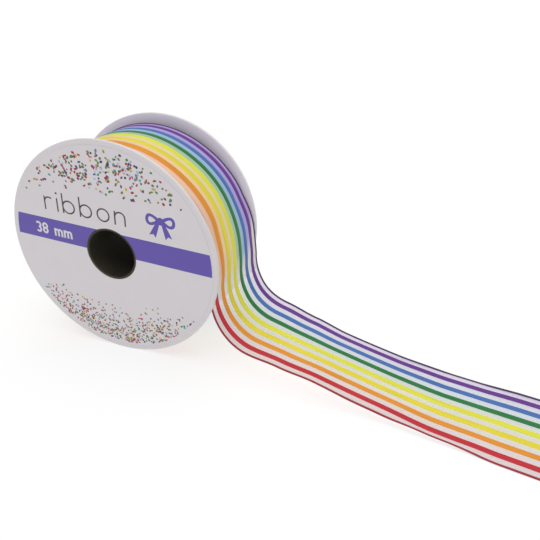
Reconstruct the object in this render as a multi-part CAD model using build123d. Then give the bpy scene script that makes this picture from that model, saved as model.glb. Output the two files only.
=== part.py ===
from build123d import *
import math
import os

# A retail spool of sheer striped ribbon that stands on the rims of its two board flanges.
# Origin: middle of the spindle bore. +Y runs along the bore from the printed front flange to
# the rear one, +X is the side where the free ribbon runs off, +Z is up. All sizes in mm.

# --- flanges ---------------------------------------------------------------------------
FLANGE_R = 44.5
BOARD_T = 1.3
PAPER_T = 0.15
LABEL_R = 42.5
SLEEVE_GAP = 0.05
OVERALL_W = 43.2
FACE_Y = OVERALL_W / 2
BOARD_OUT_Y = FACE_Y - PAPER_T
BOARD_IN_Y = BOARD_OUT_Y - BOARD_T
LINER_IN_Y = BOARD_IN_Y - PAPER_T

# --- moulded core, in two halves that plug together at the middle -------------------------
SLEEVE_R = 10.75
BORE_R = 9.9
DRUM_R = 28.0
DRUM_WALL = 1.2
WEB_T = 1.0
RIB_COUNT = 6
RIB_T = 0.8
RIB_STOP_Y = 4.0
LAP_LENGTH = 3.0
LAP_WALL = 0.85
LAP_GAP = 0.05
DRUM_IN_R = DRUM_R - DRUM_WALL

# --- ribbon -------------------------------------------------------------------------------
RIBBON_W = 38.1
RIBBON_T = 0.3
EDGE_W = 0.65
EDGE_T = 0.6
SHEER_HALF_W = RIBBON_W / 2 - EDGE_W
TAPE_T = 0.1
TAPE_W = 30.0
TAPE_ARC_DEG = 50.0
PACK_IN_R = DRUM_R + TAPE_T
PACK_R = 39.5
TURN_GAP = 1.2
TURN_IN_R = PACK_R + TURN_GAP
# the ribbon is wound a little nearer to the front flange
RIBBON_SHIFT = -0.35
FLOOR_Z = -FLANGE_R

# The last turn goes over the top of the pack and leaves it above the +X side. The free end
# falls beside the pack, turns outward in a bend, runs down a long slope and lies on the floor.
LEAVE_DEG = 22.0
TURN_END_DEG = 345.0

# Each run of the free end: its length, then the angles at its end: how steeply the ribbon goes
# down, and how far its width is turned from +Y, with the heading, towards the front.
# The slope has no length of its own: it is as long as it takes to reach the floor.
SLOPE = "slope"
FREE_RUNS = (
    (10.0, 77.5, 0.8),
    (17.0, 94.0, 6.0),
    (14.5, 60.0, 7.7),
    (15.5, 11.0, 8.5),
    (SLOPE, 8.0, 9.3),
    (28.0, 0.0, 10.0),
    (35.0, 0.0, 10.0),
)
# largest change of slope between two neighbouring cuts across the free end
STATION_TURN_DEG = 6.0
# small straight steps that a run is added up from
STEPS = 40


def disc(radius, hole_r, y_low, y_high):
    """Flat ring about the Y axis, from y_low to y_high."""
    ring = Cylinder(radius, y_high - y_low) - Cylinder(hole_r, y_high - y_low)
    return Pos(0, (y_low + y_high) / 2, 0) * Rot(90, 0, 0) * ring


def to_side(shape, side):
    """Keep a shape made for the rear side (+1), or turn it round to the front side (-1)."""
    return shape if side > 0 else Rot(0, 0, 180) * shape


def flange_board(side):
    return to_side(disc(FLANGE_R, SLEEVE_R + SLEEVE_GAP, BOARD_IN_Y, BOARD_OUT_Y), side)


def face_label(side):
    return to_side(disc(LABEL_R, SLEEVE_R + SLEEVE_GAP, BOARD_OUT_Y, FACE_Y), side)


def inner_liner(side):
    return to_side(disc(FLANGE_R, SLEEVE_R + SLEEVE_GAP, LINER_IN_Y, BOARD_IN_Y), side)


def hub_ribs():
    """Radial ribs that tie the drum to the sleeve, clear of the lap joint at the middle."""
    length = DRUM_IN_R - SLEEVE_R + DRUM_WALL / 2
    depth = LINER_IN_Y - WEB_T / 2 - RIB_STOP_Y
    middle_r = SLEEVE_R - DRUM_WALL / 4 + length / 2
    rib = Pos(middle_r, RIB_STOP_Y + depth / 2, 0) * Box(length, depth, RIB_T)
    return [Rot(0, i * 360 / RIB_COUNT, 0) * rib for i in range(RIB_COUNT)]


def hub_half(side):
    """Sleeve, drum wall, end web and ribs; the front half also carries the inner lap ring."""
    half = disc(SLEEVE_R, BORE_R, 0, FACE_Y)
    half += disc(DRUM_R, DRUM_IN_R, 0, LINER_IN_Y)
    half += disc(DRUM_R, BORE_R, LINER_IN_Y - WEB_T, LINER_IN_Y)
    half += hub_ribs()
    if side < 0:
        lap_r = DRUM_IN_R - LAP_GAP
        half += disc(DRUM_IN_R + DRUM_WALL / 2, lap_r - LAP_WALL, 0, LAP_LENGTH)
        half += disc(lap_r, lap_r - LAP_WALL, -LAP_LENGTH, LAP_LENGTH)
    return to_side(half, side)


def ring_sector(r_in, r_out, start_deg, end_deg, y_low, y_high):
    """Part of a ring about Y. Angles run from +X towards +Z."""
    a0, a1 = math.radians(start_deg), math.radians(end_deg)
    middle = (a0 + a1) / 2

    def point(radius, angle):
        return (radius * math.cos(angle), y_low, radius * math.sin(angle))

    outer = ThreePointArc(point(r_out, a0), point(r_out, middle), point(r_out, a1))
    inner = ThreePointArc(point(r_in, a1), point(r_in, middle), point(r_in, a0))
    edges = [outer, Line(outer @ 1, inner @ 0), inner, Line(inner @ 1, outer @ 0)]
    return extrude(make_face(edges), amount=y_high - y_low, dir=(0, 1, 0))


def core_tape():
    """Tab of double-sided tape that holds the inner end of the ribbon on the drum."""
    half_arc = TAPE_ARC_DEG / 2
    return ring_sector(DRUM_R, DRUM_R + TAPE_T, 90 - half_arc, 90 + half_arc, -TAPE_W / 2, TAPE_W / 2)


def ribbon_pack():
    return Pos(0, RIBBON_SHIFT, 0) * disc(PACK_R, PACK_IN_R, -RIBBON_W / 2, RIBBON_W / 2)


def polar(radius, degrees):
    """Point in the XZ plane, with the angle measured from +X towards +Z."""
    return Vector(radius * math.cos(math.radians(degrees)), 0, radius * math.sin(math.radians(degrees)))


def last_turn(thickness, y_low, y_high):
    """The turn that goes once round the pack, up to where the free end leaves it."""
    turn = ring_sector(TURN_IN_R, TURN_IN_R + thickness, LEAVE_DEG, TURN_END_DEG, y_low, y_high)
    return Pos(0, RIBBON_SHIFT, 0) * turn


def heading(down_deg, swing_deg):
    """Unit vector along the ribbon, for how steeply it goes down and how far it is swung."""
    down, swing = math.radians(down_deg), math.radians(swing_deg)
    return Vector(math.cos(swing) * math.cos(down), -math.sin(swing) * math.cos(down), -math.sin(down))


def travel(length, start, end, share=1.0):
    """Way along the first share of a run whose two angles change evenly from start to end."""
    way = Vector(0, 0, 0)
    for i in range(STEPS):
        at = share * (i + 0.5) / STEPS
        angles = [a + (b - a) * at for a, b in zip(start, end)]
        way += heading(*angles) * (length * share / STEPS)
    return way


def free_runs():
    """The runs as (length, angles at the start, angles at the end), with the slope's length."""
    ends = [(90 - LEAVE_DEG, 0)] + [(down, swing) for _, down, swing in FREE_RUNS]
    runs = [(run[0], ends[i], ends[i + 1]) for i, run in enumerate(FREE_RUNS)]
    drop = polar(TURN_IN_R, LEAVE_DEG).Z - FLOOR_Z
    drop += sum(travel(*run).Z for run in runs if run[0] != SLOPE)
    return [run if run[0] != SLOPE else (drop / -travel(1, *run[1:]).Z, *run[1:]) for run in runs]


def stations():
    """(point, angles) where the free end's straight sections meet, at its inner face."""
    point = polar(TURN_IN_R, LEAVE_DEG) + Vector(0, RIBBON_SHIFT, 0)
    runs = free_runs()
    found = [(point, runs[0][1])]
    for length, start, end in runs:
        parts = max(1, math.ceil(abs(end[0] - start[0]) / STATION_TURN_DEG))
        for i in range(1, parts + 1):
            angles = tuple(a + (b - a) * i / parts for a, b in zip(start, end))
            found.append((point + travel(length, start, end, i / parts), angles))
        point += travel(length, start, end)
    return found


def section(point, angles, thickness, y_low, y_high):
    """Cut across the free end: a thin rectangle from y_low to y_high of the ribbon's width."""
    along = heading(*angles)
    across = heading(0, angles[1]).rotate(Axis.Z, 90)
    lift = along.cross(across) * thickness
    corners = [point + across * y_low, point + across * y_high]
    corners += [corners[1] + lift, corners[0] + lift]
    return make_face(Polyline(*corners, close=True))


def free_end(thickness, y_low, y_high):
    """The free end of the ribbon, from the pack down to the floor and along it."""
    cuts = [section(*station, thickness, y_low, y_high) for station in stations()]
    return loft(cuts, ruled=True)


def wired_edge(side):
    """Bound edge of the last turn and the free end, with its fine wire inside."""
    y_low, y_high = RIBBON_W / 2 - EDGE_W, RIBBON_W / 2
    if side < 0:
        y_low, y_high = -y_high, -y_low
    return last_turn(EDGE_T, y_low, y_high) + free_end(EDGE_T, y_low, y_high)


def main():
    os.makedirs("parts", exist_ok=True)
    nodes = {
        "hub_front_half": hub_half(-1),
        "hub_rear_half": hub_half(1),
        "core_tape": core_tape(),
        "ribbon_pack": ribbon_pack(),
        "ribbon_last_turn": last_turn(RIBBON_T, -SHEER_HALF_W, SHEER_HALF_W),
        "ribbon_free_end": free_end(RIBBON_T, -SHEER_HALF_W, SHEER_HALF_W),
    }
    for name, side in (("front", -1), ("rear", 1)):
        nodes[f"{name}_flange_board"] = flange_board(side)
        nodes[f"{name}_face_label"] = face_label(side)
        nodes[f"{name}_inner_liner"] = inner_liner(side)
        nodes[f"ribbon_{name}_wired_edge"] = wired_edge(side)
    for name, shape in nodes.items():
        export_step(shape, f"parts/{name}.step")


main()
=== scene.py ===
import math
import random

import bpy
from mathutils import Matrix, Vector
from mathutils.geometry import delaunay_2d_cdt


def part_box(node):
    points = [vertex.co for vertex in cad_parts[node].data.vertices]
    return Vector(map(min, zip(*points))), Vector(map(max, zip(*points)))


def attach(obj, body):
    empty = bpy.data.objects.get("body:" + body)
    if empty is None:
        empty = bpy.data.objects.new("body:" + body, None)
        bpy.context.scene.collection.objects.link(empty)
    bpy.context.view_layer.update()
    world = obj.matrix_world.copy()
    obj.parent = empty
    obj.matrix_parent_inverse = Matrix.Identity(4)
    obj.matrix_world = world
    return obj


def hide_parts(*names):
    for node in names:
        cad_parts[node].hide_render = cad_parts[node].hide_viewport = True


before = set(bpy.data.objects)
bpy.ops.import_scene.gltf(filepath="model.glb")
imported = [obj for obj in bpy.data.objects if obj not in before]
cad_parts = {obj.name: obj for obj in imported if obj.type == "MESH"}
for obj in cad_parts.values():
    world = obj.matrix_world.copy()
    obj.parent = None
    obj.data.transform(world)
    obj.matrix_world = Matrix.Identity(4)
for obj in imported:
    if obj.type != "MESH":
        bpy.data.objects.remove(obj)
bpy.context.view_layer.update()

# A spool of sheer ribbon with woven satin stripes in rainbow colours. The row frame has the
# bore along Y, the printed front flange towards -Y and the free end of the ribbon on +X.
# Lengths are in metres; MM turns millimetres into metres.
MM = 0.001

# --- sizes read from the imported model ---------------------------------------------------
BOARD = {side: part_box(f"{side}_flange_board") for side in ("front", "rear")}
LABEL = {side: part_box(f"{side}_face_label") for side in ("front", "rear")}
LINER = {side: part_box(f"{side}_inner_liner") for side in ("front", "rear")}
FLANGE_R = BOARD["front"][1].x
LABEL_R = LABEL["front"][1].x
FLOOR_Z = BOARD["front"][0].z
PACK_LOW, PACK_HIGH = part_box("ribbon_pack")
PACK_R = PACK_HIGH.x
RIBBON_W = PACK_HIGH.y - PACK_LOW.y
RIBBON_Y = (PACK_HIGH.y + PACK_LOW.y) / 2
CORE_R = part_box("hub_rear_half")[1].x

# --- sizes that a box doesn't hold --------------------------------------------------------
SLEEVE_R = 10.75 * MM
BORE_R = 9.9 * MM
HOLE_R = 10.8 * MM
WEB_T = 1.0 * MM
DRUM_WALL = 1.2 * MM
RIB_COUNT = 6
RIB_T = 0.8 * MM
RIB_STOP_Y = 4.0 * MM
# how far a rib runs into the drum wall and the web; into the thinner sleeve it runs half of that
RIB_ROOT = 0.4 * MM
PACK_IN_R = 28.1 * MM
PACK_TURNS = 36
# the last turn goes from TURN_END_DEG up over the pack to LEAVE_DEG, from +X towards +Z
LEAVE_DEG = 22.0
TURN_END_DEG = 345.0
RIBBON_T = 0.3 * MM
TURN_MID_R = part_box("ribbon_last_turn")[1].z - RIBBON_T / 2
TURN_LENGTH = TURN_MID_R * math.radians(TURN_END_DEG - LEAVE_DEG)
# the inner end of the last turn is tucked down towards the pack over a short length
TUCK = 0.9 * MM
TUCK_LENGTH = 45 * MM
# the edge threads are tubes, a little wider and flatter than round; the cloth ends inside them
EDGE_R = 0.43 * MM
EDGE_WIDENED = 1.02
EDGE_FLATTENED = 0.85
SHEET_HALF_W = RIBBON_W / 2 - 0.8 * MM
# rings of points across a flange's face, enough for it to follow a bow
FACE_RINGS = 14

# The ribbon across its width, front to rear: seven satin stripes in a sheer ground. The two
# yellow ones are a little wider. A stripe rises from its foot to its shoulder, and to a crown.
STRIPE_PITCH = 4.95 * MM
STRIPES = ("red", "orange", "gold", "lime", "green", "blue", "purple")
STRIPE_W = {name: 2.2 * MM for name in STRIPES} | {"gold": 2.45 * MM, "lime": 2.4 * MM}
STRIPE_AT = {name: (i - len(STRIPES) // 2) * STRIPE_PITCH for i, name in enumerate(STRIPES)}
STRIPE_FOOT = 0.05 * MM
STRIPE_SHOULDER = 0.12 * MM
STRIPE_CROWN = 1.06
STRIPE_RGB = {
    "red": (0.54, 0.040, 0.052),
    "orange": (0.76, 0.30, 0.042),
    "gold": (0.77, 0.66, 0.058),
    "lime": (0.73, 0.73, 0.070),
    "green": (0.038, 0.20, 0.066),
    "blue": (0.082, 0.175, 0.44),
    "purple": (0.150, 0.054, 0.27),
}
# What lies between the stripes on the wound turns: many sheer layers over each other. From the
# front border over the six gaps to the rear border; a stripe's colour blends into its neighbours'.
WOUND_RGB = (
    (0.66, 0.36, 0.34),
    (0.85, 0.565, 0.42),
    (0.88, 0.65, 0.36),
    (0.84, 0.70, 0.39),
    (0.42, 0.60, 0.43),
    (0.35, 0.53, 0.68),
    (0.43, 0.38, 0.76),
    (0.50, 0.36, 0.74),
)
WOUND_BLEND = 0.4 * MM
# Tint of the single sheer layer at the same eight places: its weft takes up some colour from the
# stripes beside it.
LOOSE_TINTS = (
    (1.15, 0.70, 0.68),
    (1.12, 0.78, 0.72),
    (1.05, 0.92, 0.66),
    (1.04, 0.97, 0.66),
    (0.88, 1.02, 0.78),
    (0.80, 1.02, 1.18),
    (0.93, 0.96, 1.24),
    (1.12, 0.80, 1.45),
)
# Stretches past the point where the ribbon leaves the pack: over the first one the wound colours
# behind the cloth fade out, sooner by REAR_LEAD at the rear edge. Up to the second one the falling
# cloth is painted pale and nearly opaque, a painted light that hides the shaded rear flange behind
# it; over the second one this fades out and the cloth is sheer.
PACK_FADES = (21 * MM, 28.5 * MM)
REAR_LEAD = 16 * MM
PAINTED_LIGHT_FADES = (31.5 * MM, 36 * MM)
PAINTED_LIGHT_RGB = (0.87, 0.85, 0.83)
PAINTED_LIGHT_COVER = 0.86
# distance from yarn to yarn, along the ribbon and across it
YARN_PITCH_ALONG = 0.26 * MM
YARN_PITCH_ACROSS = 0.22 * MM

# The free end, nearly as in the CAD: each run from the turn on has its length in millimetres and,
# at its end, how steeply the ribbon goes down and how far it is swung towards the front.
FREE_RUNS = (
    (10.0, 77.5, 0.8),
    (17.0, 94.0, 6.0),
    (14.5, 60.0, 7.7),
    (15.5, 11.0, 8.5),
    (51.2, 8.0, 9.3),
    (28.0, 0.0, 10.0),
    (36.0, 0.0, 10.0),
)


# ------------------------------------------------------------------------------------------
# camera, floor and light
# ------------------------------------------------------------------------------------------
def make_camera():
    """The photo's view, found from the outlines of both flanges and of the bore."""
    down_deg, turned_deg = 28.9, 18.7
    data = bpy.data.cameras.new("camera")
    data.sensor_width = 36.0
    data.lens = 35.04
    data.clip_start = 0.005
    camera = bpy.data.objects.new("camera", data)
    bpy.context.scene.collection.objects.link(camera)
    camera.location = (0.11558, -0.17250, 0.09251)
    camera.rotation_euler = (math.radians(90 - down_deg), 0, math.radians(turned_deg))
    bpy.context.scene.camera = camera


def make_light():
    """A white studio with one large, soft lamp overhead."""
    world = bpy.data.worlds.new("studio")
    world.use_nodes = True
    tree = world.node_tree
    background = tree.nodes["Background"]
    background.inputs["Color"].default_value = (1.0, 1.0, 1.0, 1)
    # the studio's wall is as white as its floor, though it gives only a soft fill light
    seen = tree.nodes.new("ShaderNodeLightPath").outputs["Is Camera Ray"]
    strength = tree.nodes.new("ShaderNodeMapRange")
    strength.inputs["To Min"].default_value = 0.45
    strength.inputs["To Max"].default_value = 1.0
    tree.links.new(seen, strength.inputs["Value"])
    tree.links.new(strength.outputs["Result"], background.inputs["Strength"])
    bpy.context.scene.world = world

    lamp = bpy.data.lights.new("overhead", "SUN")
    lamp.energy = 1.85
    lamp.angle = math.radians(70)
    overhead = bpy.data.objects.new("overhead", lamp)
    bpy.context.scene.collection.objects.link(overhead)
    overhead.rotation_euler = Vector((0.05, 0.0, 1.0)).to_track_quat("Z", "Y").to_euler()
    bpy.context.scene.view_settings.view_transform = "Standard"


# ------------------------------------------------------------------------------------------
# materials
# ------------------------------------------------------------------------------------------
class Shader:
    """A Principled material and the few node helpers that the patterns are made with."""

    def __init__(self, name, rgb, roughness, **sockets):
        self.material = bpy.data.materials.new(name)
        self.material.use_nodes = True
        self.tree = self.material.node_tree
        self.surface = self.tree.nodes["Principled BSDF"]
        self.rgb = (*rgb, 1.0)
        self.surface.inputs["Base Color"].default_value = self.rgb
        self.surface.inputs["Roughness"].default_value = roughness
        for socket, value in sockets.items():
            self.surface.inputs[socket.replace("_", " ")].default_value = value

    def add(self, kind, inputs=None, **settings):
        node = self.tree.nodes.new(kind)
        for key, value in settings.items():
            setattr(node, key, value)
        for key, value in (inputs or {}).items():
            if isinstance(value, bpy.types.NodeSocket):
                self.tree.links.new(value, node.inputs[key])
            else:
                node.inputs[key].default_value = value
        return node

    def feed(self, socket, value):
        self.tree.links.new(value, self.surface.inputs[socket])

    def math(self, operation, a, b=0.0):
        return self.add("ShaderNodeMath", {0: a, 1: b}, operation=operation).outputs[0]

    def mixed(self, a, b, share):
        """The share of a and the rest of b."""
        return self.math("ADD", self.math("MULTIPLY", a, share), self.math("MULTIPLY", b, 1 - share))

    def remap(self, value, low, high, to_low, to_high):
        inputs = {"Value": value, "From Min": low, "From Max": high, "To Min": to_low, "To Max": to_high}
        return self.add("ShaderNodeMapRange", inputs).outputs["Result"]

    def spread(self, noise, low, high):
        """Noise, which lies mostly between 0.3 and 0.7, spread from low to high."""
        return self.remap(noise, 0.3, 0.7, low, high)

    def fade(self, way, stretch):
        """1 before a stretch of the ribbon past its leaving point, 0 behind it."""
        low, high = (TURN_LENGTH + end for end in stretch)
        return self.remap(way, low, high, 1.0, 0.0)

    def place(self):
        """Object coordinates, in metres in the row frame."""
        return self.add("ShaderNodeTexCoord").outputs["Object"]

    def noise(self, vector, scale, detail=3.0):
        """Noise with one scale, or with one for each axis."""
        if isinstance(scale, tuple):
            vector = self.add("ShaderNodeMapping", {"Vector": vector, "Scale": scale}).outputs["Vector"]
            scale = 1.0
        inputs = {"Vector": vector, "Scale": scale, "Detail": detail}
        return self.add("ShaderNodeTexNoise", inputs).outputs["Fac"]

    def shade(self, colour, grey):
        """A colour times a grey."""
        inputs = {0: colour, 1: grey}
        return self.add("ShaderNodeVectorMath", inputs, operation="MULTIPLY").outputs["Vector"]

    def tint(self, noise, low, high):
        """Base colour times a grey between low and high, chosen by noise."""
        return self.shade(self.rgb[:3], self.spread(noise, low, high))

    def ramp(self, fac, colours):
        """Colours at places from 0 to 1, with even changes between them."""
        node = self.add("ShaderNodeValToRGB", {"Fac": fac})
        stops = node.color_ramp.elements
        for _ in range(len(colours) - len(stops)):
            stops.new(0.5)
        for stop, at in zip(stops, sorted(colours)):
            stop.position = at
            stop.color = (*colours[at], 1.0)
        return node.outputs["Color"]

    def between(self, a, b, fac):
        """Colour a where fac is 0, b where it is 1."""
        return self.add("ShaderNodeMix", {0: fac, 6: a, 7: b}, data_type="RGBA").outputs[2]

    def bump(self, height, strength, distance):
        inputs = {"Height": height, "Strength": strength, "Distance": distance}
        self.feed("Normal", self.add("ShaderNodeBump", inputs).outputs["Normal"])

    def weave(self):
        """The weave map, and its ways along and across the ribbon."""
        both = self.add("ShaderNodeUVMap", uv_map="weave").outputs["UV"]
        parts = self.add("ShaderNodeSeparateXYZ", {"Vector": both})
        return both, parts.outputs["X"], parts.outputs["Y"]

    def wave(self, way, pitch):
        """Even wave from 0 to 1, with a crest in each pitch."""
        turned = self.math("MULTIPLY", way, 2 * math.pi / pitch)
        return self.remap(self.math("SINE", turned), -1.0, 1.0, 0.0, 1.0)

    def yarns(self, along, across):
        """Crests of the two sets of yarns that cross each other."""
        weft, warp = self.wave(along, YARN_PITCH_ALONG), self.wave(across, YARN_PITCH_ACROSS)
        return self.math("MAXIMUM", weft, warp)


def satin(name, rgb):
    """Woven satin stripe: smooth warp floats that run along the ribbon, over fine weft ribs."""
    look = Shader(name, rgb, 0.42, Sheen_Weight=0.03, Sheen_Roughness=0.35, Specular_IOR_Level=0.08)
    weave, along, _ = look.weave()
    floats = look.noise(weave, (60.0, 4200.0, 1.0), 2.0)
    cloud = look.noise(weave, (45.0, 120.0, 1.0), 2.0)
    look.feed("Base Color", look.tint(look.mixed(floats, cloud, 0.7), 0.84, 1.14))
    look.feed("Roughness", look.spread(floats, 0.36, 0.52))
    ribs = look.math("MULTIPLY", look.wave(along, YARN_PITCH_ALONG), 0.5)
    look.bump(look.math("ADD", ribs, floats), 0.5, 0.06 * MM)
    return look.material


def ribbon_ground(rgb, cover):
    """Organza ground: fine crossing yarns with open holes. Where the last turn lies on the pack,
    the sheer layers below fill the holes with the neighbouring stripes' colours."""
    look = Shader("organza", rgb, 0.38, Sheen_Weight=0.1, Specular_IOR_Level=0.3)
    weave, along, across = look.weave()
    yarns = look.yarns(along, across)
    uneven = look.noise(weave, (30.0, 1500.0, 1.0), 2.0)
    share = look.remap(across, -RIBBON_W / 2, RIBBON_W / 2, 0.0, 1.0)
    loose = {}
    for i, tint in enumerate(LOOSE_TINTS):
        middle = (i - len(STRIPES) / 2) * STRIPE_PITCH
        loose[middle / RIBBON_W + 0.5] = [a * b for a, b in zip(rgb, tint)]
    leaving = look.math("ADD", along, look.remap(share, 0.78, 1.0, 0.0, REAR_LEAD))
    on_pack = look.fade(leaving, PACK_FADES)
    # painted light: 1 where the cloth is painted pale and nearly opaque over the shaded rear flange, 0
    # where it is sheer
    painted_light = look.fade(along, PAINTED_LIGHT_FADES)
    mostly = look.math("MULTIPLY", painted_light, 0.9)
    free = look.between(look.ramp(share, loose), (*PAINTED_LIGHT_RGB, 1.0), mostly)
    colour = look.between(free, look.ramp(share, wound_colours()), on_pack)
    look.feed("Base Color", look.shade(colour, look.spread(uneven, 0.93, 1.06)))
    cloth = look.remap(yarns, 0.3, 1.0, cover * 0.6, cover * 1.25)
    sheer = look.math("MULTIPLY", cloth, look.spread(uneven, 0.9, 1.1))
    look.feed("Alpha", look.math("MAXIMUM", sheer, look.math("MULTIPLY", painted_light, PAINTED_LIGHT_COVER)))
    look.bump(yarns, 0.4, 0.05 * MM)
    return look.material


def thread(name, rgb):
    """Overlocked edge thread round a fine wire."""
    look = Shader(name, rgb, 0.5, Sheen_Weight=0.3, Specular_IOR_Level=0.35)
    _, along, around = look.weave()
    slant = look.math("ADD", along, look.math("MULTIPLY", around, 0.35))
    turns = look.wave(slant, 0.55 * MM)
    look.feed("Base Color", look.tint(turns, 0.8, 1.1))
    look.feed("Roughness", look.remap(turns, 0.0, 1.0, 0.6, 0.42))
    look.bump(turns, 0.6, 0.08 * MM)
    return look.material


def wound_colours():
    """Colour of the wound layers by their place across the ribbon, from 0 at the front to 1."""
    colours = {0.0: WOUND_RGB[0], 1.0: WOUND_RGB[-1]}
    for i, (name, middle) in enumerate(STRIPE_AT.items()):
        for way, rgb in ((-1, WOUND_RGB[i]), (1, WOUND_RGB[i + 1])):
            edge = middle + way * STRIPE_W[name] / 2
            colours[edge / RIBBON_W + 0.5] = STRIPE_RGB[name]
            colours[(edge + way * WOUND_BLEND) / RIBBON_W + 0.5] = rgb
    return colours


def wound_ground():
    """The sheer ground over many turns: the stripes below show through, slightly out of line."""
    look = Shader("wound_ground", (0.7, 0.6, 0.5), 0.45, Sheen_Weight=0.2, Specular_IOR_Level=0.4)
    weave, along, across = look.weave()
    out_of_line = 0.35 * MM
    drift = look.spread(look.noise(weave, (9.0, 300.0, 1.0)), -out_of_line, out_of_line)
    share = look.remap(look.math("ADD", across, drift), -RIBBON_W / 2, RIBBON_W / 2, 0.0, 1.0)
    streaks = look.spread(look.noise(weave, (25.0, 2600.0, 1.0)), 0.86, 1.12)
    look.feed("Base Color", look.shade(look.ramp(share, wound_colours()), streaks))
    look.bump(look.yarns(along, across), 0.35, 0.05 * MM)
    return look.material


def wound_edges(name, rgb):
    """The side of the winding, where the bound edges of all the turns lie side by side."""
    look = Shader(name, rgb, 0.6, Sheen_Weight=0.2, Specular_IOR_Level=0.3)
    spot = look.noise(look.place(), 900.0, 4.0)
    look.feed("Base Color", look.tint(spot, 0.7, 1.2))
    look.feed("Roughness", look.spread(spot, 0.5, 0.75))
    look.bump(spot, 0.5, 0.1 * MM)
    return look.material


def paper(name, rgb, roughness, relief):
    """Printed paper: a faint fibre pattern in colour, gloss and relief."""
    look = Shader(name, rgb, roughness, Specular_IOR_Level=0.4)
    place = look.place()
    fibre = look.noise(place, (2600.0, 1.0, 2100.0), 4.0)
    cloud = look.noise(place, 130.0)
    both = look.mixed(fibre, cloud, 0.6)
    look.feed("Base Color", look.tint(both, 0.965, 1.03))
    look.feed("Roughness", look.spread(cloud, roughness - 0.06, roughness + 0.08))
    look.bump(both, relief, 0.05 * MM)
    return look.material


def board():
    """Pressed board: visible grey fibre and thin layers that show along the cut rim."""
    look = Shader("flange_board", (0.74, 0.73, 0.715), 0.75, Specular_IOR_Level=0.25)
    place = look.place()
    layers = look.noise(place, (150.0, 5200.0, 150.0))
    fibre = look.noise(place, 1500.0, 4.0)
    both = look.mixed(layers, fibre, 0.5)
    look.feed("Base Color", look.tint(both, 0.88, 1.06))
    look.feed("Roughness", look.spread(fibre, 0.66, 0.86))
    look.bump(both, 0.35, 0.08 * MM)
    return look.material


def core_plastic():
    """Black moulded plastic with a fine spark-eroded grain and faint flow marks."""
    look = Shader("core_plastic", (0.040, 0.035, 0.023), 0.55, Specular_IOR_Level=0.35)
    place = look.place()
    grain = look.noise(place, 3800.0, 2.0)
    flow = look.noise(place, (90.0, 25.0, 90.0))
    look.feed("Base Color", look.tint(flow, 0.8, 1.3))
    look.feed("Roughness", look.spread(flow, 0.48, 0.66))
    look.bump(grain, 0.3, 0.05 * MM)
    return look.material


def tape():
    """Clear yellowish tape with faint creases."""
    look = Shader("tape", (0.70, 0.62, 0.42), 0.35, Specular_IOR_Level=0.5)
    crease = look.noise(look.place(), (300.0, 60.0, 300.0))
    look.feed("Base Color", look.tint(crease, 0.9, 1.08))
    look.feed("Roughness", look.spread(crease, 0.28, 0.45))
    look.bump(crease, 0.3, 0.1 * MM)
    return look.material


def studio_floor():
    """Pale floor that glows a little, to come near the white ground of a product photo."""
    look = Shader("studio_floor", (0.33, 0.33, 0.33), 0.85, Specular_IOR_Level=0.1)
    look.surface.inputs["Emission Color"].default_value = (1.0, 1.0, 1.0, 1.0)
    look.surface.inputs["Emission Strength"].default_value = 0.67
    look.feed("Roughness", look.spread(look.noise(look.place(), 3.0, 2.0), 0.8, 0.9))
    return look.material


# ------------------------------------------------------------------------------------------
# meshes
# ------------------------------------------------------------------------------------------
def smooth(low, high, value):
    """Even step from 0 at low to 1 at high."""
    t = max(0.0, min(1.0, (value - low) / (high - low)))
    return t * t * (3 - 2 * t)


def hump(value, rise, fall):
    """From 0 up to 1 over the stretch rise, and back to 0 over the stretch fall."""
    return smooth(*rise, value) * (1 - smooth(*fall, value))


def make_piece(name, vertices, faces, materials, face_material=None, shaded_smooth=True):
    """One mesh object. face_material has the place of each face's material."""
    mesh = bpy.data.meshes.new(name)
    mesh.from_pydata([tuple(v) for v in vertices], [], faces)
    for material in materials:
        mesh.materials.append(material)
    for i, polygon in enumerate(mesh.polygons):
        polygon.use_smooth = shaded_smooth
        if face_material:
            polygon.material_index = face_material[i]
    mesh.validate()
    piece = bpy.data.objects.new(name, mesh)
    bpy.context.scene.collection.objects.link(piece)
    return piece


def keep(piece, body, slot, *nodes):
    """Let the piece ride a body, in place of these CAD nodes. The slot is not used."""
    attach(piece, body)
    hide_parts(*nodes)
    return piece


def sharpen(piece, degrees=35):
    """Flat faces stay flat: edges that turn by more than this are sharp."""
    piece.data.set_sharp_from_angle(angle=math.radians(degrees))


def add_weave(piece, weave):
    """The weave map: along and across the ribbon, in metres, for each face's corners."""
    layer = piece.data.uv_layers.new(name="weave")
    for polygon in piece.data.polygons:
        for loop, uv in zip(polygon.loop_indices, weave[polygon.index]):
            layer.data[loop].uv = uv


def turned(profile, segments):
    """(vertices, faces) of a closed profile of (y, radius) turned about Y."""
    vertices, faces = [], []
    count = len(profile)
    for i in range(segments):
        angle = 2 * math.pi * i / segments
        for y, radius in profile:
            vertices.append((radius * math.cos(angle), y, radius * math.sin(angle)))
        here, there = i * count, (i + 1) % segments * count
        for j in range(count):
            k = (j + 1) % count
            faces.append((here + j, here + k, there + k, there + j))
    return vertices, faces


def lathe(name, profile, materials, edge_material=None, segments=160):
    """A turned piece. edge_material has the place of each profile edge's material."""
    picked = (edge_material or [0] * len(profile)) * segments
    return make_piece(name, *turned(profile, segments), materials, picked)


def rounded_ring(y_low, y_high, r_in, r_out, rounding):
    """Closed (y, radius) outline of a flat ring with rounded outer rim corners. Its two faces
    have enough rings to follow a bow."""
    corner_steps = 3
    corner_r = r_out - rounding
    rings = [r_in + (corner_r - r_in) * i / FACE_RINGS for i in range(FACE_RINGS)]
    points = [(y_low, radius) for radius in rings]
    for middle, start in ((y_low + rounding, 180), (y_high - rounding, 90)):
        for step in range(corner_steps + 1):
            angle = math.radians(start - 90 * step / corner_steps)
            points.append((middle + rounding * math.cos(angle), corner_r + rounding * math.sin(angle)))
    return points + [(y_high, radius) for radius in reversed(rings)]


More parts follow.
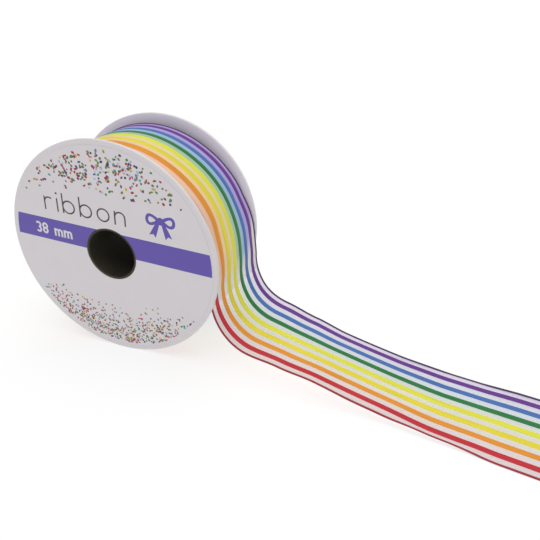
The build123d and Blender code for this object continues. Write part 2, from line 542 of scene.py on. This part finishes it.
# --- hub ----------------------------------------------------------------------------------
def rib(angle, radii, depths):
    """(vertices, faces) of a radial rib: a box between two radii and two depths."""
    out = Vector((math.cos(angle), 0, math.sin(angle)))
    half_across = Vector((-math.sin(angle), 0, math.cos(angle))) * RIB_T / 2
    corners = []
    for radius in radii:
        for depth in depths:
            for way in (-1, 1):
                corners.append(out * radius + half_across * way + Vector((0, depth, 0)))
    return corners, ((0, 1, 3, 2), (4, 6, 7, 5), (0, 4, 5, 1), (2, 3, 7, 6), (0, 2, 6, 4), (1, 5, 7, 3))


def hub_half(side, material):
    """Sleeve with its rim, end web, drum wall and ribs, as one moulding."""
    face = LABEL["rear"][1].y
    web_out = LINER["rear"][0].y
    web_in = web_out - WEB_T
    drum_in = CORE_R - DRUM_WALL
    chamfer = 0.22 * MM
    profile = [
        (0.0, SLEEVE_R),
        (web_in, SLEEVE_R),
        (web_in, drum_in),
        (0.0, drum_in),
        (0.0, CORE_R),
        (web_out, CORE_R),
        (web_out, SLEEVE_R),
        (face - chamfer / 2, SLEEVE_R),
        (face, SLEEVE_R - chamfer / 2),
        (face, BORE_R + chamfer),
        (face - chamfer, BORE_R),
        (0.0, BORE_R),
    ]
    depths = (RIB_STOP_Y, web_in + RIB_ROOT)
    if side == "front":
        profile = [(-y, r) for y, r in reversed(profile)]
        depths = (-depths[1], -depths[0])
    vertices, faces = turned(profile, 96)
    for i in range(RIB_COUNT):
        radii = (SLEEVE_R - RIB_ROOT / 2, drum_in + RIB_ROOT)
        corners, sides = rib(2 * math.pi * i / RIB_COUNT, radii, depths)
        faces += [tuple(len(vertices) + k for k in corner_places) for corner_places in sides]
        vertices += corners
    piece = make_piece(f"hub_{side}", vertices, faces, [material])
    sharpen(piece)
    return keep(piece, "spool", "core_plastic", f"hub_{side}_half")


# --- flanges ------------------------------------------------------------------------------
# The board flanges aren't perfectly flat. Each lobe of the rear one's bow: the direction of its
# middle, in degrees from +X towards +Z, and how far the rim stands off there, towards +Y.
WARP = {"front": (), "rear": ((75, 1.5 * MM), (-8, -1.1 * MM))}
WARP_FROM_R = 12 * MM


def warp(piece, side):
    """Bow a flange's board, liner or label, from near the core outwards."""
    for vertex in piece.data.vertices:
        x, _, z = vertex.co
        away = smooth(WARP_FROM_R, FLANGE_R, math.hypot(x, z))
        for middle, reach in WARP[side]:
            facing = max(0.0, math.cos(math.atan2(z, x) - math.radians(middle)))
            vertex.co.y += reach * away * facing ** 2


def flange(side, materials):
    """The pressed board, covered with coated paper up to its cut rim, and the liner on its inner
    side."""
    low, high = BOARD[side]
    outline = rounded_ring(low.y, high.y, HOLE_R, FLANGE_R, rounding=0.3 * MM)
    cut_from = FLANGE_R - 0.05 * MM
    radii = [radius for _, radius in outline]
    coated = [0 if min(ends) > cut_from else 1 for ends in zip(radii, radii[1:] + radii[:1])]
    pressed = lathe(f"{side}_board", outline, [materials["board"], materials["coated"]], coated)
    low, high = LINER[side]
    outline = rounded_ring(low.y, high.y, HOLE_R, FLANGE_R - 0.1 * MM, rounding=0.05 * MM)
    liner = lathe(f"{side}_liner", outline, [materials["liner"]])
    for piece in (pressed, liner):
        sharpen(piece)
        warp(piece, side)
    keep(pressed, "spool", "flange_board", f"{side}_flange_board")
    keep(liner, "spool", "liner_paper", f"{side}_inner_liner")


# --- printed labels -----------------------------------------------------------------------
# A print is a list of (ink, outline) in millimetres on the label, u to the right and w up as
# one looks at the face. Later shapes lie over earlier ones.
INK_RGB = {
    "paper": (0.726, 0.692, 0.717),
    "purple": (0.124, 0.084, 0.416),
    "grey": (0.040, 0.042, 0.045),
    "red": (0.38, 0.02, 0.03),
    "magenta": (0.42, 0.03, 0.15),
    "navy": (0.04, 0.035, 0.12),
    "gold": (0.55, 0.42, 0.03),
    "olive": (0.22, 0.19, 0.035),
    "teal": (0.11, 0.29, 0.33),
    "green": (0.06, 0.22, 0.06),
    "sky": (0.34, 0.50, 0.64),
}
# the confetti, with the inks that are more common listed more than once
FLECK_INKS = (
    "red", "magenta", "navy", "gold", "teal", "green", "sky",
    "red", "magenta", "red", "olive", "green", "navy", "olive",
)
FLECK_OUTLINE = ((1, 0.35), (0.5, 1), (-0.5, 1), (-1, 0.35), (-1, -0.35), (-0.5, -1), (0.5, -1), (1, -0.35))
FLECK_SEED = 38
FLECK_REACH = 42
FLECK_RIM_R = 41.2
# how far each face's print is turned clockwise
LABEL_TURN_DEG = {"front": 4.17, "rear": -37.0}
LABEL_STEPS = 160
LOOSE_STEPS = 48


def circle(radius, steps):
    """Points of a full circle round the label's middle."""
    turns = (2 * math.pi * i / steps for i in range(steps))
    return [Vector((radius * math.cos(a), radius * math.sin(a))) for a in turns]


def bar(x0, y0, x1, y1, width):
    """Straight stroke with square ends."""
    along = Vector((x1 - x0, y1 - y0)).normalized()
    out = Vector((-along.y, along.x)) * width / 2
    a, b = Vector((x0, y0)), Vector((x1, y1))
    return [a - out, b - out, b + out, a + out]


def arc_stroke(x, y, rx, ry, start, end, width):
    """Curved stroke along part of an ellipse, from start to end in degrees."""
    steps = max(6, int(abs(end - start) / 12))
    outer, inner = [], []
    for i in range(steps + 1):
        a = math.radians(start + (end - start) * i / steps)
        outer.append(Vector((x + (rx + width / 2) * math.cos(a), y + (ry + width / 2) * math.sin(a))))
        inner.append(Vector((x + (rx - width / 2) * math.cos(a), y + (ry - width / 2) * math.sin(a))))
    return outer + inner[::-1]


def ring_strokes(x, y, rx, ry, width):
    """Full ellipse as two half strokes, as one outline holds no hole."""
    return [arc_stroke(x, y, rx, ry, start, start + 180, width) for start in (0, 180)]


def letter(sign, x, base, height, width):
    """(strokes, advance) of one plain letter or numeral; height is that of an n."""
    r = height / 2 - width / 2
    middle = base + height / 2
    tall = base + height * 1.45
    stem = bar(x, base, x, base + height, width)
    if sign == "r":
        hook_r = r * 0.8
        spring = base + height - hook_r - width / 2
        return [stem, arc_stroke(x + hook_r, spring, hook_r, hook_r, 180, 55, width)], r * 1.25
    if sign == "i":
        dot = bar(x, tall - width * 1.5, x, tall - width * 0.2, width * 1.3)
        return [stem, dot], 0
    if sign == "b":
        return [bar(x, base, x, tall, width), *ring_strokes(x + r, middle, r, r, width)], 2 * r
    if sign == "o":
        return ring_strokes(x + r, middle, r, r, width), 2 * r
    if sign in "nm":
        arches, half = (1, r * 0.85) if sign == "n" else (2, r * 0.62)
        spring = base + height - half - width / 2
        strokes = [stem]
        for i in range(arches):
            left = x + 2 * half * i
            right = left + 2 * half
            strokes.append(arc_stroke(left + half, spring, half, half, 180, 0, width))
            strokes.append(bar(right, base, right, spring, width))
        return strokes, 2 * half * arches
    if sign in "38":
        numeral_r = r * 0.75
        half = (tall - base - width) / 4
        strokes = []
        for i, (start, end) in enumerate(((-150, 90), (-90, 150))):
            centre = base + width / 2 + (1 + 2 * i) * half
            if sign == "8":
                strokes += ring_strokes(x + numeral_r, centre, numeral_r, half, width)
            else:
                strokes.append(arc_stroke(x + numeral_r, centre, numeral_r, half, start, end, width))
        return strokes, 2 * numeral_r
    return [], height * 0.35


def word(text, ink, x, base, height, width, gap):
    """Letters from x on, with this stroke width and this gap between them."""
    shapes = []
    for sign in text:
        strokes, advance = letter(sign, x, base, height, width)
        shapes.extend((ink, stroke) for stroke in strokes)
        x += advance + gap
    return shapes


def bow_sign(x, y, size):
    """A tied bow: two loops with open insides, two tails and a knot. Its parts are drawn for the
    right side and a size of 1, and way -1 turns them over to the left."""

    def placed(points, way):
        return [Vector((x + way * size * a, y + size * b)) for a, b in points]

    def drop(steps, start, length, half_height, waist):
        points = []
        for i in range(steps):
            a = 2 * math.pi * i / steps
            reach = 0.5 + 0.5 * math.cos(a)
            rise = half_height * math.sin(a) * (waist + (1 - waist) * reach)
            points.append((start + length * reach, 0.18 + rise))
        return points

    loop = drop(24, start=0.0, length=1.0, half_height=0.52, waist=0.35)
    inside = drop(20, start=0.30, length=0.50, half_height=0.28, waist=0.2)
    tail = ((0.02, 0.12), (0.30, 0.02), (0.78, -0.86), (0.50, -0.78), (0.34, -1.0))
    knot = [(0.24 * p.x, 0.16 + 0.26 * p.y) for p in circle(1.0, 12)]
    shapes = [("purple", placed(part, way)) for way in (-1, 1) for part in (loop, tail)]
    shapes += [("paper", placed(inside, way)) for way in (-1, 1)]
    return shapes + [("purple", placed(knot, 1))]


def band(radius, low, high, steps=6):
    """Bar across the label that ends in arcs of one circle."""
    points = []
    for way in (1, -1):
        for i in range(steps + 1):
            w = low + (high - low) * (i / steps if way > 0 else 1 - i / steps)
            points.append(Vector((way * math.sqrt(radius ** 2 - w ** 2), w)))
    return points


def flecks(rng, count, chance, size):
    """Small confetti dots and dashes; chance(u, w) is that of one staying there, 0 to 1."""
    shapes = []
    while len(shapes) < count:
        u, w = rng.uniform(-FLECK_REACH, FLECK_REACH), rng.uniform(-FLECK_REACH, FLECK_REACH)
        if math.hypot(u, w) > FLECK_RIM_R or rng.random() > chance(u, w):
            continue
        long = rng.uniform(0.42, 0.88) * size
        wide = rng.uniform(0.38, 0.6) * size
        turn = rng.uniform(0, math.pi)
        outline = []
        for a, b in FLECK_OUTLINE:
            a, b = a * long / 2, b * wide / 2
            across = u + a * math.cos(turn) - b * math.sin(turn)
            up = w + a * math.sin(turn) + b * math.cos(turn)
            outline.append(Vector((across, up)))
        shapes.append((rng.choice(FLECK_INKS), outline))
    return shapes


def top_drift(u, w):
    """Confetti falls from below the top rim and thins out downwards, further down on the left."""
    low = 23.5 - 3.5 * max(0, (-u - 22) / 14)
    off_rim = min(1.0, (40 - math.hypot(u, w)) / 4 + 0.3)
    return max(0.0, min(1.0, (w - low) / 7)) * (0.35 + 0.65 * off_rim)


def bottom_drift(u, w):
    """Finer confetti settles along the bottom rim."""
    settled = max(0.0, min(1.0, (-19.5 - w) / 12))
    return settled * (0.25 + 0.75 * smooth(25, 39, math.hypot(u, w)))


def make_print():
    """The purple band, the confetti, two words and the bow."""
    rng = random.Random(FLECK_SEED)
    shapes = [("purple", band(radius=42.3, low=0.3, high=9.5))]
    shapes += flecks(rng, count=310, chance=top_drift, size=1.6)
    shapes += flecks(rng, count=680, chance=bottom_drift, size=1.25)
    shapes += word("ribbon", "grey", x=-27.6, base=13.3, height=5.6, width=0.6, gap=2.5)
    shapes += word("38 mm", "paper", x=-33.3, base=2.5, height=3.3, width=0.85, gap=1.25)
    shapes += bow_sign(x=21.8, y=17.6, size=6.0)
    return shapes


def counter_clockwise(outline):
    """The outline itself, or turned round where it runs clockwise."""
    area = sum(a.x * b.y - a.y * b.x for a, b in zip(outline, outline[1:] + outline[:1]))
    return outline if area > 0 else outline[::-1]


def cut_sheet(shapes):
    """(points, triangles, ink of each triangle) of the flat label, cut along the print."""
    outlines = [circle(radius / MM, LABEL_STEPS) for radius in (LABEL_R, HOLE_R)]
    outlines += [counter_clockwise(outline) for _, outline in shapes]
    points, loops = [], []
    for outline in outlines:
        loops.append(list(range(len(points), len(points) + len(outline))))
        points.extend(outline)
    # loose points let the wide plain areas follow the board's bow
    for i in range(1, FACE_RINGS):
        points += circle((HOLE_R + (LABEL_R - HOLE_R) * i / FACE_RINGS) / MM, LOOSE_STEPS)
    only_inside, merged_below = 1, 1e-5
    flat, _, cut, _, _, origins = delaunay_2d_cdt(points, [], loops, only_inside, merged_below)
    triangles, inks = [], []
    for triangle, origin in zip(cut, origins):
        # outline 0 is the label's rim, outline 1 its hole
        if 0 in origin and 1 not in origin:
            over = [k for k in origin if k > 1]
            triangles.append(tuple(triangle))
            inks.append(shapes[max(over) - 2][0] if over else "paper")
    return flat, triangles, inks


def face_label(side, shapes, inks):
    """Paper disc whose outer face is cut along the outlines of the print."""
    flat, triangles, triangle_inks = cut_sheet(shapes)
    low, high = LABEL[side]
    outer, inner, mirror = (low.y, high.y, 1) if side == "front" else (high.y, low.y, -1)
    turn = math.radians(LABEL_TURN_DEG[side])
    vertices = []
    for y in (outer, inner):
        for p in flat:
            right = p.x * math.cos(turn) + p.y * math.sin(turn)
            up = p.y * math.cos(turn) - p.x * math.sin(turn)
            vertices.append((mirror * right * MM, y, up * MM))
    names = list(inks)
    plain = names.index("paper")
    count = len(flat)
    faces, picked, rim = [], [], {}
    for triangle, ink in zip(triangles, triangle_inks):
        faces.append(triangle)
        faces.append(tuple(count + k for k in reversed(triangle)))
        picked += [names.index(ink), plain]
        for a, b in zip(triangle, triangle[1:] + triangle[:1]):
            if (b, a) in rim:
                del rim[(b, a)]
            else:
                rim[(a, b)] = True
    faces += [(b, a, count + a, count + b) for a, b in rim]
    picked += [plain] * len(rim)
    piece = make_piece(f"{side}_label", vertices, faces, list(inks.values()), picked, shaded_smooth=False)
    warp(piece, side)
    return keep(piece, "spool", "label_paper", f"{side}_face_label")


# --- wound ribbon -------------------------------------------------------------------------
def across_points(half_width, thin, thick):
    """(place across, half thickness, stripe name or None for the part after the point)."""
    points = [(-half_width, thin, None)]
    for name, middle in STRIPE_AT.items():
        front, rear = middle - STRIPE_W[name] / 2, middle + STRIPE_W[name] / 2
        gap_from = points[-1][0]
        for share in (0.33, 0.67):
            points.append((gap_from + (front - gap_from) * share, thin, None))
        points.append((front - STRIPE_FOOT, thin, name))
        points.append((front + STRIPE_SHOULDER, thick, name))
        points.append((middle, thick * STRIPE_CROWN, name))
        points.append((rear - STRIPE_SHOULDER, thick, name))
        points.append((rear + STRIPE_FOOT, thin, None))
    gap_from = points[-1][0]
    for share in (0.25, 0.5, 0.75):
        points.append((gap_from + (half_width - gap_from) * share, thin, None))
    points.append((half_width, thin, None))
    return points


def wound_side(way):
    """Profile of the pack's side, from the outermost turn inwards: a ridge for each turn's edge,
    a little uneven, between grooves."""
    groove, ridge, uneven = 0.22 * MM, 0.058 * MM, 0.048 * MM
    pitch = (PACK_R - PACK_IN_R) / PACK_TURNS
    points = []
    for i in range(PACK_TURNS):
        outer = PACK_R - pitch * i
        points.append((RIBBON_W / 2 - groove, outer - 0.02 * MM))
        points.append((RIBBON_W / 2 - ridge + uneven * math.sin(i * 2.4), outer - pitch / 2))
    points.append((RIBBON_W / 2 - 0.3 * MM, PACK_IN_R))
    return [(RIBBON_Y + way * out, radius) for out, radius in points]


def wound_pack(materials, segments=180):
    """All the turns below the last one; their edges make fine ridges at the two sides."""
    names = ["ground", "front_edges", "rear_edges", *STRIPES]
    profile, picked = [], []
    for place, rise, stripe in across_points(RIBBON_W / 2, 0.0, 0.12 * MM):
        profile.append((RIBBON_Y + place, PACK_R + rise))
        picked.append(names.index(stripe) if stripe else 0)
    picked[-1] = names.index("rear_edges")
    for way, name in ((1, "rear_edges"), (-1, "front_edges")):
        side_points = wound_side(way)
        profile += side_points[::way]
        picked += [names.index(name)] * len(side_points)
    piece = lathe("wound_pack", profile, [materials[n] for n in names], picked, segments)
    weave = []
    for i in range(segments):
        u0, u1 = (2 * math.pi * k / segments * PACK_R for k in (i, i + 1))
        for (y0, _), (y1, _) in zip(profile, profile[1:] + profile[:1]):
            v0, v1 = y0 - RIBBON_Y, y1 - RIBBON_Y
            weave.append(((u0, v0), (u0, v1), (u1, v1), (u1, v0)))
    add_weave(piece, weave)
    return keep(piece, "spool", "ribbon", "ribbon_pack")


# --- last turn and free end ---------------------------------------------------------------
def heading(down_deg, swing_deg):
    """Unit vector along the ribbon, for how steeply it goes down and how far it is swung."""
    down, swing = math.radians(down_deg), math.radians(swing_deg)
    return Vector((math.cos(swing) * math.cos(down), -math.sin(swing) * math.cos(down), -math.sin(down)))


def width_way(swing_deg):
    """Unit vector across the ribbon, from its front edge to its rear one."""
    swing = math.radians(swing_deg)
    return Vector((math.sin(swing), math.cos(swing), 0))


def ribbon_line(step):
    """(way along, point, heading, across) along the middle of the last turn and the free end."""
    line = []
    count = round(TURN_LENGTH / step)
    for i in range(count):
        gone = TURN_LENGTH * i / count
        angle = math.radians(TURN_END_DEG - (TURN_END_DEG - LEAVE_DEG) * i / count)
        # the turn comes up from the pack
        radius = TURN_MID_R - TUCK * (1 - smooth(0, TUCK_LENGTH, gone))
        point = Vector((radius * math.cos(angle), RIBBON_Y, radius * math.sin(angle)))
        along = Vector((math.sin(angle), 0, -math.cos(angle)))
        line.append((gone, point, along, width_way(0)))
    gone = TURN_LENGTH
    angle = math.radians(LEAVE_DEG)
    point = Vector((TURN_MID_R * math.cos(angle), RIBBON_Y, TURN_MID_R * math.sin(angle)))
    down, swing = 90 - LEAVE_DEG, 0.0
    for length, end_down, end_swing in FREE_RUNS:
        parts = max(4, round(length * MM / step))
        stride = length * MM / parts
        for i in range(parts):
            start, middle = (
                (down + (end_down - down) * share, swing + (end_swing - swing) * share)
                for share in (i / parts, (i + 0.5) / parts)
            )
            line.append((gone, point.copy(), heading(*start), width_way(start[1])))
            point += heading(*middle) * stride
            gone += stride
        down, swing = end_down, end_swing
    line.append((gone, point.copy(), heading(down, swing), width_way(swing)))
    return line


# How the cloth stands off its even run, in millimetres: (way past the leaving point, the middle,
# how much more the rear edge stands off than the middle; the front edge is the other way).
STAND_OFF = (
    (-30, 0.0, 0.0),
    (0, 0.75, 0.1),
    (10, 0.55, 1.05),
    (22, 0.3, 0.35),
    (40, 0.1, 0.4),
    (57, 0.25, 1.2),
    (71, 0.25, 0.0),
    (86, 0.3, -1.2),
    (108, 0.2, -1.15),
    (131, 0.0, -0.25),
    (146, 0.0, 0.0),
)
# How far the front border dips on the pack, hangs on the slope and curls up after it, how far
# the rear half rises near the end, and how high the small waves of the edges are.
DIP = 0.88
HANG = 0.4
CURL = 0.85
REAR_RISE = 0.6
WAVE = 0.12


class RibbonShape:
    """Where a point of the ribbon is, with the stand-off, small waves and bent borders that
    cloth has. In its methods, free is the way past the leaving point, in millimetres, and share
    runs from -1 at the front edge to 1 at the rear one."""

    def __init__(self, line):
        self.line = line
        self.end = line[-1][0]

    def stand_off(self, free, share):
        """The value of STAND_OFF at this place, with even changes from row to row."""
        for (low, middle, edge), (high, next_middle, next_edge) in zip(STAND_OFF, STAND_OFF[1:]):
            if low <= free <= high:
                t = smooth(low, high, free)
                return middle + (next_middle - middle) * t + share * (edge + (next_edge - edge) * t)
        return 0.0

    def lift(self, gone, free, share):
        """How far the cloth stands off the even strip, in millimetres."""
        lift = self.stand_off(free, share)
        loose = smooth(60, 90, free) * smooth(0, 30, (self.end - gone) / MM)
        lift += WAVE * loose * math.sin(free / 8.5) * share ** 2
        on_pack = smooth(20, 60, gone / MM) * (1 - smooth(-2, 24, free))
        lift -= DIP * on_pack * smooth(0.5, 0.7, -share)
        border = CURL * hump(free, (114, 128), (136, 152)) - HANG * hump(free, (88, 102), (112, 124))
        lift += border * smooth(0.84, 1.0, -share)
        return lift + REAR_RISE * smooth(138, 156, free) * max(0.0, share)

    def shift(self, free, share):
        """How far the cloth lies nearer to the front than on the even strip, in millimetres: both
        borders while they lie on the pack, all of it after the slope, its front half once more."""
        shift = 0.3 * smooth(0.5, 0.7, -share) * (1 - smooth(0, 26, free))
        shift += 0.6 * smooth(0.86, 1.0, share) * (1 - smooth(-16, 4, free))
        shift += 0.4 * smooth(115, 132, free)
        return shift + 0.55 * smooth(142, 153, free) * max(0.0, -share)

    def thinning(self, free, share):
        """The front edge thread is drawn out thin along the curled stretch."""
        return 1 - 0.5 * smooth(0.97, 0.98, -share) * hump(free, (108, 124), (140, 154))

    def at(self, i, across, height):
        """Place of a point by its station, its place across and its height over the middle."""
        gone, point, along, wide = self.line[i]
        normal = along.cross(wide)
        free = (gone - TURN_LENGTH) / MM
        share = across / (RIBBON_W / 2)
        height *= self.thinning(free, share)
        across -= self.shift(free, share) * MM
        place = point + wide * across + normal * (height + self.lift(gone, free, share) * MM)
        place.z = max(place.z, FLOOR_Z + EDGE_R * EDGE_FLATTENED + min(height, 0.0))
        return place


def ribbon_strip(shape, materials):
    """The cloth between its edge threads: an upper and a lower skin, closed at all four sides."""
    names = ["ground", *STRIPES]
    upper = across_points(SHEET_HALF_W, 0.06 * MM, 0.13 * MM)
    places = [place for place, _, _ in upper]
    inks = [names.index(stripe) if stripe else 0 for _, _, stripe in upper]
    count, last = len(upper), len(shape.line) - 1
    vertices, faces, picked, weave = [], [], [], []
    for i in range(last + 1):
        vertices += [shape.at(i, place, rise) for place, rise, _ in upper]
        vertices += [shape.at(i, place, -rise) for place, rise, _ in upper]

    def add_face(corners, corner_weave, ink, order=1):
        faces.append(corners[::order])
        weave.append(corner_weave[::order])
        picked.append(ink)

    for i in range(last):
        here, there = i * 2 * count, (i + 1) * 2 * count
        u0, u1 = shape.line[i][0], shape.line[i + 1][0]
        for j in range(count - 1):
            v0, v1 = places[j], places[j + 1]
            corners = (here + j, there + j, there + j + 1, here + j + 1)
            add_face(corners, ((u0, v0), (u1, v0), (u1, v1), (u0, v1)), inks[j])
            corners = tuple(count + k for k in (here + j, here + j + 1, there + j + 1, there + j))
            add_face(corners, ((u0, v0), (u0, v1), (u1, v1), (u1, v0)), inks[j])
        for j, order in ((0, 1), (count - 1, -1)):
            corners = (here + j, here + count + j, there + count + j, there + j)
            v = places[j]
            add_face(corners, ((u0, v), (u0, v), (u1, v), (u1, v)), 0, order)
    for i, order in ((0, 1), (last, -1)):
        start, u = i * 2 * count, shape.line[i][0]
        for j in range(count - 1):
            v0, v1 = places[j], places[j + 1]
            corners = (start + j, start + j + 1, start + count + j + 1, start + count + j)
            add_face(corners, ((u, v0), (u, v1), (u, v1), (u, v0)), inks[j], order)
    piece = make_piece("ribbon_strip", vertices, faces, [materials[n] for n in names], picked)
    add_weave(piece, weave)
    return keep(piece, "free_ribbon", "ribbon", "ribbon_last_turn", "ribbon_free_end")


def wired_edge(shape, side, material, ring=10):
    """Thread bound round the ribbon's edge: a thin tube with this many points in a ring."""
    way = -1 if side == "front" else 1
    last = len(shape.line) - 1
    vertices, faces, weave = [], [], []
    for i in range(last + 1):
        for k in range(ring):
            a = 2 * math.pi * k / ring
            out = SHEET_HALF_W + EDGE_R + EDGE_R * EDGE_WIDENED * math.cos(a)
            vertices.append(shape.at(i, way * out, EDGE_R * EDGE_FLATTENED * math.sin(a)))
    for i in range(last):
        here, there = i * ring, (i + 1) * ring
        u0, u1 = shape.line[i][0], shape.line[i + 1][0]
        for k in range(ring):
            after = (k + 1) % ring
            v0, v1 = (2 * math.pi * EDGE_R * x / ring for x in (k, k + 1))
            faces.append((here + k, here + after, there + after, there + k)[::way])
            weave.append(((u0, v0), (u0, v1), (u1, v1), (u1, v0))[::way])
    for start, order in ((0, -way), (last * ring, way)):
        cap = tuple(start + k for k in range(ring))
        faces.append(cap[::order])
        weave.append(((0, 0),) * ring)
    piece = make_piece(f"ribbon_{side}_edge", vertices, faces, [material])
    add_weave(piece, weave)
    return keep(piece, "free_ribbon", f"{side}_edge_thread", f"ribbon_{side}_wired_edge")


# ------------------------------------------------------------------------------------------
# the scene
# ------------------------------------------------------------------------------------------
make_camera()
make_light()

plastic = core_plastic()
for side in ("front", "rear"):
    hub_half(side, plastic)
tape_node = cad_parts["core_tape"]
tape_node.data.materials.clear()
tape_node.data.materials.append(tape())

inks = {name: paper(f"label_{name}", rgb, roughness=0.4, relief=0.12) for name, rgb in INK_RGB.items()}
# the liner is white paper; its lavender tint is a painted reflection of the purple ribbon next to the rear
# flange
liner = paper("liner_paper", (0.90, 0.86, 0.93), roughness=0.6, relief=0.3)
label_print = make_print()
for side in ("front", "rear"):
    flange(side, {"board": board(), "coated": inks["paper"], "liner": liner})
for side in ("front", "rear"):
    face_label(side, label_print, inks)

satins = {name: satin(f"satin_{name}", rgb) for name, rgb in STRIPE_RGB.items()}
wound_pack({
    "ground": wound_ground(),
    "front_edges": wound_edges("wound_front_edges", (0.20, 0.02, 0.03)),
    "rear_edges": wound_edges("wound_rear_edges", (0.05, 0.025, 0.09)),
    **satins,
})

ribbon = RibbonShape(ribbon_line(step=1.2 * MM))
organza = ribbon_ground((0.37, 0.37, 0.375), cover=0.275)
strip = ribbon_strip(ribbon, {"ground": organza, **satins})
edges = [
    wired_edge(ribbon, "front", thread("front_edge_thread", (0.36, 0.014, 0.030))),
    wired_edge(ribbon, "rear", thread("rear_edge_thread", (0.055, 0.026, 0.085))),
]
# the ribbon is thin enough for most of the light to come through
strip.visible_shadow = False

reach = 15.0
floor_corners = [(x * reach, y * reach, FLOOR_Z) for x, y in ((-1, -1), (1, -1), (1, 1), (-1, 1))]
floor = make_piece("studio_floor", floor_corners, [(0, 1, 2, 3)], [studio_floor()])
